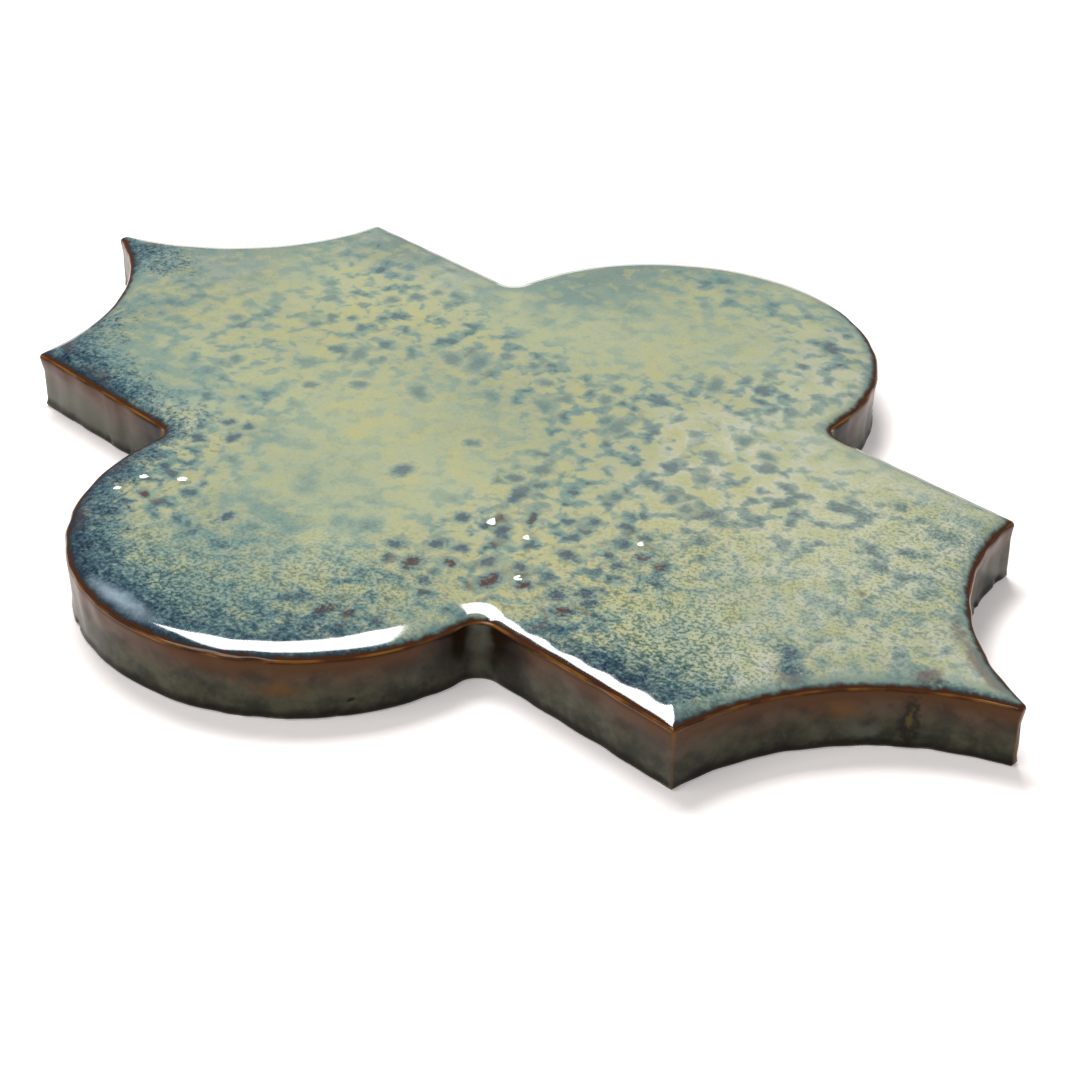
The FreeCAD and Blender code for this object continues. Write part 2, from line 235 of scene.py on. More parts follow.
side_z = np.linspace(side_top, foot_chamfer, side_rows + 1)[1:, None] + 0 * run
uneven = lump * (waves(run + 0 * side_z, side_z, lump_size, 5) - wave_top)
uneven += nick * (waves(run + 0 * side_z, side_z, nick_size, 6) - wave_top)
uneven *= np.clip((side_top - side_z) / top_fade, 0, 1) * np.clip(side_z / foot_fade, 0, 1)
chips = np.clip(waves(run, 0 * run, chip_size, 9) - chip_floor, 0, 1)
uneven -= chip * chips * np.clip(1.5 - side_z / foot_fade, 0, 1)
side = edge + edge_normal * np.clip(uneven, -deepest_mark, 0)[..., None]

back = (edge - edge_normal * foot_chamfer) * np.linspace(1, 0, back_rows, endpoint=False)[:, None, None]
back_z = np.zeros(back.shape[:2])

rows = np.concatenate([face, arris, side, back])
heights = np.concatenate([face_z, arris_z, side_z, back_z])
poles = np.array([[0, 0, face_height(np.zeros((1, 2)))[0]], [0, 0, 0]])
vertices = np.concatenate([np.concatenate([rows, heights[..., None]], -1).reshape(-1, 3), poles])

column = np.arange(column_count)
after = np.roll(column, -1)
first = np.arange(len(rows) - 1)[:, None] * column_count
quads = [first + column, first + column_count + column, first + column_count + after, first + after]
last = (len(rows) - 1) * column_count
face_pole, back_pole = len(vertices) - 2, len(vertices) - 1
face_fan = np.stack([np.full(column_count, face_pole), column, after], -1)
back_fan = np.stack([np.full(column_count, back_pole), last + after, last + column], -1)
faces = np.stack(quads, -1).reshape(-1, 4).tolist() + face_fan.tolist() + back_fan.tolist()

mesh = bpy.data.meshes.new("glazed_tile")
mesh.from_pydata((vertices * MM).tolist(), [], faces)
mesh.shade_smooth()
tile = bpy.data.objects.new("glazed_tile", mesh)
bpy.context.scene.collection.objects.link(tile)


# Fields that the glaze follows
# The glaze broke differently from place to place as it melted.  Each field below is a list of patches
# on the plan, and each patch is x, y, half its width, half its height, its turn in degrees and weight.

flecked_patches = [
    (-12, 15, 20, 8, -10, 0.65), (8, 12, 13, 6, -5, 0.75), (17, 33, 17, 9, 45, 0.65),
    (20, 58, 12, 9, -40, 0.6), (-8, 62, 18, 6, 0, 0.5), (38, 12, 16, 14, 0, 0.45),
    (62, 18, 20, 15, 0, 0.4), (20, -12, 10, 15, 20, 0.8), (38, -16, 12, 16, 0, 0.75),
    (32, -33, 18, 8, 0, 0.85), (-24, -42, 12, 20, 15, 0.8), (-52, -6, 12, 14, 0, 0.4),
    (-56, 24, 18, 9, 0, 0.5), (0, -50, 20, 10, 0, 0.45), (-33, 0, 12, 8, 0, 0.45),
    (-75, -10, 12, 14, 0, 0.4), (22, -53, 8, 7, 0, 0.9), (80, -2, 10, 10, 0, 0.5),
    (-40, -22, 18, 8, 0, 0.35), (-40, 14, 12, 8, 0, 0.4),
]
spotted_patches = [
    (30, -33, 16, 8, 0, 0.95), (20, -10, 7, 14, 25, 0.75), (40, -15, 9, 12, 0, 0.6),
    (-26, -45, 10, 17, 15, 0.95), (-10, 14, 24, 7, -8, 0.6), (-50, 22, 16, 8, 0, 0.5),
    (-52, -8, 13, 12, 0, 0.35), (-32, 2, 10, 7, 0, 0.4), (16, 36, 14, 8, 45, 0.5),
    (24, 56, 9, 8, -45, 0.5), (22, -53, 7, 7, 0, 0.9), (74, -15, 4, 5, 0, 0.6),
    (-70, -18, 7, 8, 0, 0.4), (-12, 58, 14, 7, 0, 0.4),
]
rusty_patches = [
    (28, -33, 13, 6, 0, 1.0), (23, -53, 5, 6, 0, 1.0), (19, -14, 5, 12, 25, 0.8),
    (41, -12, 6, 6, 0, 0.8), (-26, -57, 9, 10, 20, 0.8), (30, 58, 9, 12, -40, 0.6),
    (80, 0, 10, 10, 0, 0.5), (-60, 30, 16, 5, 0, 0.5),
]
grainy_patches = [
    (60, -25, 14, 13, 0, 0.95), (10, -58, 18, 10, 0, 0.7), (2, -66, 22, 7, 0, 0.95),
    (20, -45, 12, 8, 0, 0.7), (48, -8, 10, 14, 0, 0.5), (74, 10, 16, 20, 0, 0.6),
    (70, 26, 12, 8, 0, 0.5), (60, -31, 14, 9, 0, 0.9),
]
pooled_patches = [
    (0, -72, 30, 4.5, 0, 1.0), (-20, -67, 12, 6, -40, 1.0), (-30, -55, 4, 14, 15, 0.9),
    (62, -35.5, 15, 3.5, 0, 0.9), (25, -60, 12, 6, 40, 0.75), (-60, -36, 16, 5, 0, 0.95),
    (-90, -2, 10, 5, 0, 0.65), (-71, -28, 6, 9, 20, 0.5), (73, -16, 4, 2.5, -40, 0.3),
    (-36, -42, 4, 8, 0, 0.4), (63, -30, 10, 6, 10, 0.42), (8, -64, 20, 8, 0, 0.25),
    (93.5, -3.2, 6, 1.1, 22, 0.8),
]
# patches turned grey, with plum flecks; those on the upper right also paint a pale reflection haze
greyed_and_haze_patches = [
    (30, 20, 12, 16, 30, 0.6), (28, 58, 14, 12, -40, 0.7), (-60, 31, 18, 6, 0, 0.7),
    (72, -17, 8, 9, 0, 0.7), (70, 22, 18, 18, 0, 0.55), (-77, 4, 7, 7, 0, 0.8),
    (60, 0, 16, 12, 0, 0.35), (90, 0, 10, 6, 0, 0.6), (42, 18, 18, 12, 0, 0.5),
]
tanned_patches = [
    (87.5, -4.5, 2.2, 1.4, 60, 0.9), (92, 2.6, 6, 1.6, -28, 0.9), (69, 4, 1.5, 1.2, 0, 0.6),
    (84, 7, 3, 1.5, -40, 0.5), (74.6, -18.6, 2.0, 1.2, 0, 0.7), (80, -19, 2, 1.2, 50, 0.5),
    (-58, -35, 5, 1.5, 0, 0.6), (-70, -33, 3, 1.5, 0, 0.6), (-31, -50, 1.5, 3, 15, 0.6),
    (-25, -64, 5, 3, -42, 0.9), (-12, -72, 4, 1.2, -15, 0.6), (33, -53, 1.5, 2.5, 30, 0.6),
    (-92, 2, 2, 2, 0, 0.6),
]
bare_patches = [
    (-9, -12, 18, 10, 0, 0.9), (-10, -32, 14, 14, 0, 0.8), (-28, 46, 10, 7, 0, 0.4),
    (8, 44, 12, 9, 40, 0.4),
]
# patches where the ground is darker and greener, and below, patches where it is paler and creamier
darker_patches = [
    (-26, 54, 8, 12, 0, 0.85), (-22, 66, 10, 5, -20, 0.65), (-14, 52, 9, 8, 0, 0.2),
    (-61, 31, 10, 6, 0, 0.85), (-42, 33, 12, 4, 0, 0.2), (-77, 6, 11, 16, 0, 0.75),
    (-72, -22, 8, 12, 0, 0.8), (-4, 9, 30, 9, 0, 0.38), (-2, -6, 8, 5, 0, 0.15),
    (-25, -44, 5, 10, 0, 0.3), (26, -43, 6, 6, 0, 0.35), (13, -66, 8, 5, 20, 0.3),
    (97, 0, 4, 4, 0, 0.5), (8, 54, 20, 10, 0, 0.18), (-50, -6, 14, 8, 0, 0.25),
    (12, 30, 16, 8, 40, 0.2), (-4, -48, 10, 8, 0, 0.22), (70, -31, 6, 5, 0, 0.3),
    (60, -6, 7, 6, 0, 0.2), (-10, -30, 9, 8, 0, 0.15), (82, -15, 9, 8, 0, 0.25),
]
paler_patches = [
    (54, 14, 18, 12, 0, 0.65), (26, 42, 6, 6, 0, 0.3), (36, 0, 9, 8, 0, 0.25),
    (-36, -36, 6, 9, 0, 0.6), (24, -19, 15, 7, 0, 0.25), (36, -14, 8, 10, 0, 0.25),
    (48, -28, 8, 6, 0, 0.3), (12, -42, 8, 6, 0, 0.35), (6, -51, 14, 7, 0, 0.25),
    (-50, 15, 14, 6, 0, 0.2), (62, -22, 10, 6, 0, 0.15),
]
crisp_patches = [
    (0, -58, 42, 20, 0, 1.0), (34, -28, 30, 18, 0, 1.0), (78, -10, 22, 16, 0, 0.9),
    (-26, -46, 12, 18, 0, 0.9),
]
# where the far left sides get paler copies of their colours, as painted sheen
painted_sheen_side_patches = [
    (-68, -37, 18, 9, 0, 1.0), (-90, -22, 14, 16, 0, 1.0), (-38, -48, 6, 10, 0, 0.6),
]
creamy_patches = [
    (-67, 2, 9, 16, 0, 0.65), (-45, 2, 9, 9, 0, 0.5), (-42, 15, 12, 6, 0, 0.6),
    (4, 36, 10, 8, 40, 0.25), (36, -23, 10, 6, 0, 0.9), (-2, 54, 14, 6, 0, 0.15),
    (10, 18, 14, 5, 0, 0.4), (-24, -36, 9, 14, 0, 0.4), (42, 4, 10, 12, 0, 0.5),
    (-9, -10, 22, 12, 0, 0.3),
]
teal_patches = [
    (-24, 42, 12, 7, 0, 0.45), (-45, -29, 20, 7, 0, 0.9), (-60, 33, 18, 6, 0, 0.5),
    (-16, 67, 16, 6, 0, 0.6), (-72, 22, 10, 9, 0, 0.5), (5, -50, 22, 12, 0, 0.5),
    (10, -63, 22, 9, 0, 0.6), (20, 62, 14, 8, -40, 0.4), (-30, -30, 8, 8, 0, 0.5),
    (-90, 0, 12, 12, 0, 0.7), (-58, 12, 22, 12, 0, 0.3),
]


def keep_on_mesh(name, values):
    """Keeps a number for each vertex under a name that the material reads."""
    attribute = mesh.attributes.new(name, "FLOAT", "POINT")
    attribute.data.foreach_set("value", np.asarray(values, np.float32).ravel())


plan = vertices[:, :2]
plain_fields = {
    "crisp": crisp_patches,
    "rusty": rusty_patches,
    "grainy": grainy_patches,
    "pooled": pooled_patches,
    "greyed_and_haze": greyed_and_haze_patches,
    "tanned": tanned_patches,
    "painted_sheen_side": painted_sheen_side_patches,
}
for name, patches in plain_fields.items():
    keep_on_mesh(name, field(plan, patches))
not_bare = 1 - field(plan, bare_patches)
keep_on_mesh("flecked", field(plan, flecked_patches) * not_bare)
keep_on_mesh("spotted", field(plan, spotted_patches) * not_bare)
keep_on_mesh("creamy", field(plan, creamy_patches) - field(plan, teal_patches))
keep_on_mesh("tone_shift", field(plan, darker_patches) - field(plan, paler_patches))
keep_on_mesh("inward", distances(plan).min(0))
near_hollow = (plan[:, 0] > 0) & (plan[:, 1] < 0)
far_off = 99.0  # further than anything on the tile
keep_on_mesh("from_hollow", np.where(near_hollow, distances(plan)[1], far_off))


def nearest_of(points, places):
    """The distance on the plan from each point to the nearest of some places."""
    return np.min([np.hypot(points[..., 0] - x, points[..., 1] - y) for x, y in places], 0)


def mirrored(x, y):
    """A place and its three mirror images."""
    return [(s * x, t * y) for s in (1, -1) for t in (1, -1)]


outer_corners = mirrored(half_span, half_neck) + mirrored(half_length, 0)
inner_corners = mirrored(inner_x - inner_radius / 2, half_neck + inner_radius / 2)
keep_on_mesh("from_corner", nearest_of(plan, outer_corners))
keep_on_mesh("from_inner", nearest_of(plan, inner_corners))

# Glaze
# A reactive glaze over a dark one, glossy on the face: sage green that broke to cream and teal, flecked
# with slate, plum and rust, run into blue pools along the low rim and thinned to amber on the arris,
# where a painted highlight brightens it.

glaze = bpy.data.materials.new("reactive_glaze")
glaze.use_nodes = True
tree = glaze.node_tree
shader = tree.nodes["Principled BSDF"]


def colour(code):
    """The linear colour of a #RRGGBB code."""
    parts = [int(code[k : k + 2], 16) / 255 for k in (1, 3, 5)]
    return [c / 12.92 if c <= 0.04045 else ((c + 0.055) / 1.055) ** 2.4 for c in parts] + [1.0]


def node(kind, inputs, **settings):
    """A node in the tree being built, with its settings, and its inputs either linked or given values."""
    made = tree.nodes.new("ShaderNode" + kind)
    for name, value in settings.items():
        setattr(made, name, value)
    for name, value in inputs.items():
        if isinstance(value, bpy.types.NodeSocket):
            tree.links.new(value, made.inputs[name])
        else:
            made.inputs[name].default_value = value
    return made


def maths(operation, first, second=0.0, third=None):
    """One number from two, and a third is then added."""
    made = node("Math", {0: first, 1: second}, operation=operation).outputs[0]
    return made if third is None else node("Math", {0: made, 1: third}, operation="ADD").outputs[0]


def ease(value, low, high, first=0.0, second=1.0):
    """A smooth step from first, where value is low, to second, where it is high."""
    inputs = {"Value": value, "From Min": low, "From Max": high, "To Min": first, "To Max": second}
    return node("MapRange", inputs, interpolation_type="SMOOTHSTEP").outputs[0]


def blend(weight, first, second):
    """One colour from two."""
    return node("Mix", {0: weight, 6: first, 7: second}, data_type="RGBA").outputs[2]


def mottle(where, size, detail=2.0, roughness=0.5):
    """Cloudy noise about 0.5, with clouds of this size in millimetres."""
    inputs = {"Vector": where, "Scale": 1 / size, "Detail": detail, "Roughness": roughness}
    return node("TexNoise", inputs)


def kept(name):
    """A number that was kept on the mesh."""
    return node("Attribute", {}, attribute_name=name).outputs["Fac"]


def strayed(where, size, reach):
    """The same place, strayed by cloudy noise of this size, by up to about half its reach."""
    noise = mottle(where, size).outputs["Color"]
    centred = node("VectorMath", {0: noise, 1: (0.5, 0.5, 0.5)}, operation="SUBTRACT").outputs[0]
    offset = node("VectorMath", {0: centred, 1: (reach, reach, 0)}, operation="MULTIPLY").outputs[0]
    return node("VectorMath", {0: where, 1: offset}, operation="ADD").outputs[0]


def cloud(where, size, detail=2.0, roughness=0.5):
    """Cloudy noise about 0."""
    return maths("SUBTRACT", mottle(where, size, detail, roughness).outputs[0], 0.5)


def inside_oval(where, centre, halves, degrees=0):
    """How far inside an oval a point is: 1 at its middle, 0 at its edge."""
    inputs = {"Vector": where, "Location": centre, "Scale": halves}
    inputs["Rotation"] = (0, 0, math.radians(degrees))
    local = node("Mapping", inputs, vector_type="TEXTURE").outputs[0]
    return maths("SUBTRACT", 1, node("VectorMath", {0: local}, operation="LENGTH").outputs["Value"])


def inside_any(where, places):
    """How far inside the nearest of some oval spots on the plan a point is.  A spot is x, y, half its
    width, half its height and its turn in degrees."""
    deepest = -9.0
    for x, y, half_wide, half_high, degrees in places:
        inside = inside_oval(where, (x, y, 0), (half_wide, half_high, 1), degrees)
        deepest = maths("MAXIMUM", deepest, inside)
    return deepest


SAGE, CREAM, TEAL_GREY = colour("#A9B293"), colour("#B6B585"), colour("#81998E")
PALE_GREY_AND_HAZE, DEEPER_GREEN, PALER_CREAM = colour("#CDCFC4"), colour("#6F8580"), colour("#C6CBAE")
CURD_TEAL, HALO, SPOT_CORE = colour("#7E9A92"), colour("#BBB588"), colour("#545468")
TEAL, SLATE, PLUM, RUST = colour("#658584"), colour("#4A626E"), colour("#666571"), colour("#5E4036")
POOL_TEAL, POOL_BLUE, NIGHT_BLUE = colour("#50717A"), colour("#2F4E60"), colour("#142B3D")
LIGHT_GRAIN, POOL_GRAIN, HOLLOW_BAND_GREEN = colour("#CBD4B4"), colour("#7E9C98"), colour("#869C90")
TAN, POOL_TAN, PAINTED_REFLECTION_BLUE = colour("#6D5F5C"), colour("#463A3D"), colour("#A5BBC9")
RIM_TEAL, RIM_DARK = colour("#5B7C7E"), colour("#1D2526")
RIM_BROWN, AMBER_AND_HIGHLIGHT = colour("#45220B"), colour("#8E5F22")
grain_shade = (0.27, 0.40, 0.46, 1)  # the dark grain lets through this much of the glaze's colour
glaze_ior, face_roughness = 1.55, 0.07

# the most striking spots, by the colour of their middles, and small round ones, each just x and y
rust_spots = [
    (19.8, -35.8, 1.8, 2.2, 20), (23.5, -32.0, 1.5, 1.3, 0), (31.0, -31.2, 1.5, 2.6, 20),
    (35.0, -28.5, 1.6, 1.4, 0), (43.5, -29.5, 1.8, 1.4, 30), (42.0, -11.2, 1.4, 1.8, 0),
    (20.4, -52.8, 1.5, 3.2, 10), (25.4, -54.0, 1.9, 1.6, 20), (23.2, -15.2, 0.9, 3.0, 35),
    (-22.0, -52.0, 1.7, 1.4, 0), (-21.0, -58.5, 2.3, 1.4, 30), (-27.0, -61.0, 1.8, 1.4, 0),
    (27.4, -49.5, 1.7, 1.2, 20),
]
slate_spots = [
    (40.2, -26.8, 1.4, 2.4, 30), (33.7, -18.5, 2.2, 1.2, 10), (14.2, -4.2, 1.5, 2.0, 20),
    (16.8, -11.8, 1.3, 3.9, 20), (23.0, -20.8, 1.0, 2.2, 35), (-0.3, -20.0, 1.3, 2.1, 10),
    (-8.0, -47.5, 1.0, 1.9, 0), (-17.5, 12.0, 1.8, 2.8, 30), (0.0, 10.0, 2.6, 1.4, -20),
    (13.0, 13.5, 1.2, 3.4, 0), (-17.0, -1.4, 2.8, 1.5, -15), (-33.5, 0.0, 1.4, 2.9, 35),
    (14.5, 35.0, 1.2, 2.6, 35), (71.6, -14.3, 2.1, 1.4, -40), (75.2, -16.9, 2.8, 1.8, -35),
    (14.5, -34.5, 1.7, 1.4, 0), (37.0, -10.7, 1.6, 1.6, 0), (-21.7, 10.0, 2.4, 1.5, -20),
    (18.8, -30.1, 1.5, 1.8, 0), (24.1, -37.8, 1.8, 1.1, 0), (-29.7, -36.2, 1.6, 1.4, 0),
]
small_spots = [
    (-10.6, 18.0), (-5.3, 15.8), (-16.0, 17.2), (0.8, 13.8), (10.0, 13.8), (5.4, 18.7), (4.3, 22.5),
    (-25.5, -6.8), (-30.8, -12.4), (0.8, -6.5), (13.0, -8.8), (17.6, -8.0), (27.2, -1.9),
    (29.8, -9.9), (41.1, -15.5), (38.6, -7.2), (43.2, 3.5), (44.7, -1.9), (32.9, 11.5), (33.7, 3.5),
    (37.1, 3.1), (35.2, 23.3), (58.5, 26.7), (29.5, 24.8), (-30.5, -29.7), (-27.0, -28.6),
    (-25.9, -32.4), (15.7, -22.9), (21.8, -28.2), (27.6, -28.2), (31.0, -25.5), (16.9, -37.8),
    (42.4, -24.0), (44.7, -25.2), (-47.0, 2.0), (-46.0, -16.0), (-58.0, -6.5), (-45.0, 17.0),
    (-43.0, 21.0), (-41.5, 25.0),
]
small_radius = 1.25

# the place on the plan in millimetres, and the same place strayed, which gives patterns ragged edges
position = node("TexCoord", {}).outputs["Object"]
place = node("Mapping", {"Vector": position, "Scale": (1 / MM, 1 / MM, 0)}).outputs[0]
ragged = strayed(strayed(place, 3.5, 2.4), 1.4, 0.7)
flecked, spotted, pooled, greyed_and_haze = kept("flecked"), kept("spotted"), kept("pooled"), kept("greyed_and_haze")
grainy, crisp, tone_shift, inward = kept("grainy"), kept("crisp"), kept("tone_shift"), kept("inward")

# the ground: sage that drifts to cream and to teal, turned grey here and there with a painted reflection
# haze in the grey patches on the upper right, darker and greener in some patches and paler in others
tone = maths("ADD", kept("creamy"), cloud(place, 11, 3))
tone = maths("ADD", tone, cloud(ragged, 5.5, 2))
ground = blend(ease(tone, 0.02, 0.62), SAGE, CREAM)
ground = blend(ease(tone, -0.03, -0.5), ground, TEAL_GREY)
ground = blend(maths("MULTIPLY", ease(cloud(place, 5, 3), -0.14, 0.1), greyed_and_haze), ground, PALE_GREY_AND_HAZE)
ground = blend(maths("MAXIMUM", tone_shift, 0), ground, DEEPER_GREEN)
ground = blend(maths("MAXIMUM", maths("MULTIPLY", tone_shift, -1), 0), ground, PALER_CREAM)

# how the glaze broke: cream veins where this noise is low, and teal, slate and rust in turn where it is
# high, softly in the middle of the tile and crisply on its low side
broken = maths("MAXIMUM", flecked, spotted)
curd = maths("ADD", cloud(ragged, 3.2, 2, 0.5), maths("MULTIPLY", cloud(place, 8, 2), 0.5))
veined = maths("MULTIPLY", broken, 0.45, 0.3)
ground = blend(maths("MULTIPLY", ease(curd, -0.02, -0.13), veined), ground, CREAM)
level = maths("ADD", curd, maths("MULTIPLY", broken, 0.11, -0.07))
curd_weight = maths("MULTIPLY", ease(level, -0.07, 0.07), maths("MULTIPLY", broken, 0.6, 0.3))
ground = blend(curd_weight, ground, CURD_TEAL)
halo = maths("MULTIPLY", ease(level, -0.1, -0.03), ease(level, 0.03, -0.02))
ground = blend(maths("MULTIPLY", halo, maths("MULTIPLY", broken, 0.5)), ground, HALO)
fleck = blend(ease(level, 0.09, 0.17), TEAL, SLATE)
fleck = blend(maths("MULTIPLY", greyed_and_haze, 0.7), fleck, PLUM)
dense = ease(broken, 0.1, 0.6)
soft_fleck = ease(level, -0.07, 0.19, 0, 0.74)
crisp_fleck = ease(level, 0.01, 0.16, 0, 0.78)
fleck_weight = maths("MULTIPLY", crisp, maths("SUBTRACT", crisp_fleck, soft_fleck), soft_fleck)
ground = blend(maths("MULTIPLY", fleck_weight, dense), ground, fleck)
ground = blend(maths("MULTIPLY", ease(level, 0.15, 0.19, 0, 0.9), kept("rusty")), ground, RUST)
specks = maths("ADD", cloud(place, 1.5, 2, 0.6), maths("MULTIPLY", broken, 0.05))
speck_weight = maths("MULTIPLY", maths("MULTIPLY", ease(specks, 0.07, 0.17, 0, 0.5), dense), crisp)
ground = blend(speck_weight, ground, SLATE)

# the spots: a pale halo, a teal ring, slate, and a core of plum grey or of rust, all with frayed edges,
# and weaker away from the low side
nearest = far_off
for x, y in small_spots:
    apart = node("VectorMath", {0: ragged, 1: (x, y, 0)}, operation="DISTANCE").outputs["Value"]
    nearest = maths("MINIMUM", nearest, apart)
inside_small = maths("MULTIPLY", nearest, -1 / small_radius, 1)

fray = maths("MULTIPLY", cloud(place, 1.2, 3, 0.6), ease(crisp, 0.0, 0.8, 0.8, 1.6))
clear = ease(crisp, 0.1, 0.8, 0.45, 0.74)
slate_depth = maths("MAXIMUM", inside_any(ragged, slate_spots), inside_small)
rust_depth = inside_any(ragged, rust_spots)
for depth, core_weight, core_colour in ((slate_depth, 0.6, SPOT_CORE), (rust_depth, 0.9, RUST)):
    inside = maths("ADD", depth, fray, 0.1)
    ground = blend(ease(inside, -1.2, -0.4, 0, 0.35), ground, HALO)
    ground = blend(ease(inside, -0.6, 0.1, 0, 0.6), ground, CURD_TEAL)
    ground = blend(maths("MULTIPLY", ease(inside, -0.1, 0.65), clear), ground, SLATE)
    core = maths("MULTIPLY", ease(inside, 0.3, 0.85, 0, core_weight), crisp)
    ground = blend(core, ground, core_colour)

# the pools: teal, blue and night blue in turn, stippled at their edges
stipple = maths("ADD", cloud(place, 0.9, 2, 0.7), maths("MULTIPLY", cloud(place, 2.4, 2), 0.5))
pool_weight = maths("ADD", pooled, maths("MULTIPLY", cloud(ragged, 4, 3, 0.65), 0.8))
pool_weight = maths("ADD", pool_weight, maths("MULTIPLY", stipple, ease(pooled, 0.0, 0.3, 0.2, 1.5)))
ground = blend(ease(pool_weight, 0.1, 0.6, 0, 0.7), ground, POOL_TEAL)
ground = blend(ease(pool_weight, 0.4, 0.95, 0, 0.85), ground, POOL_BLUE)
ground = blend(ease(pool_weight, 0.85, 1.25), ground, NIGHT_BLUE)
in_pool = ease(pool_weight, 0.1, 0.6)

# the grain: fine dark and light threads, which lie thickest at the right end and in the pools
grain_weight = maths("MULTIPLY", maths("MAXIMUM", grainy, maths("MULTIPLY", in_pool, 0.8)), 0.88, 0.1)
grain = maths("ADD", cloud(place, 0.6, 2, 0.7), maths("MULTIPLY", cloud(place, 2.0, 2), 0.35))
grain = maths("ADD", grain, maths("MULTIPLY", grainy, 0.05))
dark_grain = blend(1.0, ground, grain_shade)
dark_grain.node.blend_type = "MULTIPLY"
ground = blend(maths("MULTIPLY", ease(grain, 0.0, 0.13), grain_weight), ground, dark_grain)
light_grain = blend(in_pool, LIGHT_GRAIN, POOL_GRAIN)
light_weight = maths("MULTIPLY", in_pool, 0.3, 0.35)
light_weight = maths("MULTIPLY", light_weight, grain_weight)
light_weight = maths("MULTIPLY", ease(grain, -0.03, -0.17), light_weight)
ground = blend(light_weight, ground, light_grain)

# a green band along the near hollow end, plum brown patches, and a pale blue painted reflection on the
# lobe's low rim
hollow_band = maths("ADD", kept("from_hollow"), maths("MULTIPLY", cloud(place, 4, 2), 1.5))
ground = blend(ease(hollow_band, 3.2, 2.9, 0, 0.42), ground, HOLLOW_BAND_GREEN)
tan = maths("ADD", kept("tanned"), maths("MULTIPLY", cloud(ragged, 2.5, 3, 0.6), 1.2))
ground = blend(ease(tan, 0.25, 0.7, 0, 0.7), ground, blend(in_pool, TAN, POOL_TAN))
# painted reflection: a soft pale blue patch in place of a dim light mirrored in the lobe's low rim
painted_reflection = inside_oval(place, (-1.4, -71.5, 0), (8.5, 1.7, 1), 2)
painted_reflection = maths("ADD", painted_reflection, maths("MULTIPLY", cloud(place, 2.5, 3), 0.8))
ground = blend(ease(painted_reflection, -0.4, 1.1, 0, 0.7), ground, PAINTED_REFLECTION_BLUE)

# the rim: smooth blue where the glaze gathers, a dark line, and brown with an amber line on the arris,
# where the glaze thins and a painted highlight brightens it in places
from_rim = maths("ADD", inward, maths("MULTIPLY", cloud(place, 2.2, 3), 1.6))
ground = blend(ease(from_rim, 2.8, 0.8, 0, 0.6), ground, blend(in_pool, RIM_TEAL, NIGHT_BLUE))
from_arris = maths("ADD", inward, maths("MULTIPLY", cloud(place, 1.6, 3), 1.2))
ground = blend(ease(from_arris, 1.5, 0.8, 0, 0.8), ground, RIM_DARK)
ground = blend(ease(from_arris, 1.0, 0.6), ground, RIM_BROWN)
amber_and_highlight = maths("MULTIPLY", ease(inward, 0.45, 0.33), ease(inward, 0.05, 0.18))
amber_and_highlight = maths("MULTIPLY", amber_and_highlight, ease(cloud(place, 6, 3), -0.12, 0.12, 0.1, 0.85))
ground = blend(amber_and_highlight, ground, AMBER_AND_HIGHLIGHT)
tree.links.new(ground, shader.inputs["Base Color"])
shader.inputs["Roughness"].default_value = face_roughness
shader.inputs["IOR"].default_value = glaze_ior

# pimples and one blister in the glaze, which catch the light as small white glints
pimples = [
    (25.9, -18.8, 1.7, 1.7, 0), (38.6, -8.0, 1.7, 1.7, 0), (32.6, -27.0, 1.7, 1.7, 0),
    (-22.3, -45.0, 2.2, 2.2, 0), (-26.8, -48.8, 2.0, 2.0, 0), (-26.9, -53.8, 1.8, 1.8, 0),
]
pimple_height = 0.36
blister = ease(inside_oval(place, (18.8, -18.8, 0), (3.0, 3.6, 1)), 0, 1, 0, 1.4)
dome = maths("MAXIMUM", ease(inside_any(place, pimples), 0, 1), blister)
relief = node("Bump", {"Height": dome, "Distance": pimple_height * MM, "Strength": 1.0}).outputs[0]
tree.links.new(relief, shader.inputs["Normal"])
mesh.materials.append(glaze)

# Sides, foot and back
# The glaze ran thinner and duller down the cut sides: grey green below, browner upwards and amber brown
# under the arris, with the marks of the firing.  The foot and the back are bare clay.

thin_glaze = bpy.data.materials.new("thin_glaze")
thin_glaze.use_nodes = True
tree = thin_glaze.node_tree
shader = tree.nodes["Principled BSDF"]

DEEP_GREEN, GREY_GREEN, SHEEN_GREEN = colour("#34362B"), colour("#5E5E4B"), colour("#6A6C60")
DEEP_BROWN, WARM_BROWN, SHEEN_BROWN = colour("#3E3026"), colour("#62503F"), colour("#73655C")
AMBER_BROWN, SHEEN_AMBER_BROWN = colour("#5B3918"), colour("#553A28")
AMBER_MARK, PALE_MARK = colour("#765127"), colour("#70766A")
DRIP, DRIP_CORE, NICK = colour("#1B190E"), colour("#6B5A28"), colour("#120D0A")
LOW_EDGE_AND_SHADE, CORNER_PAINTED_SHADE = colour("#17120C"), colour("#1A110A")
CORNER_STRIPE, CORNER_LINE = colour("#666A58"), colour("#8A6238")
DARK_CLAY, LIGHT_CLAY = colour("#8E745B"), colour("#B0977A")
thin_roughness, clay_roughness = 0.28, 0.85
thin_sheen = 0.13  # the specular level, low because the thin glaze is dull

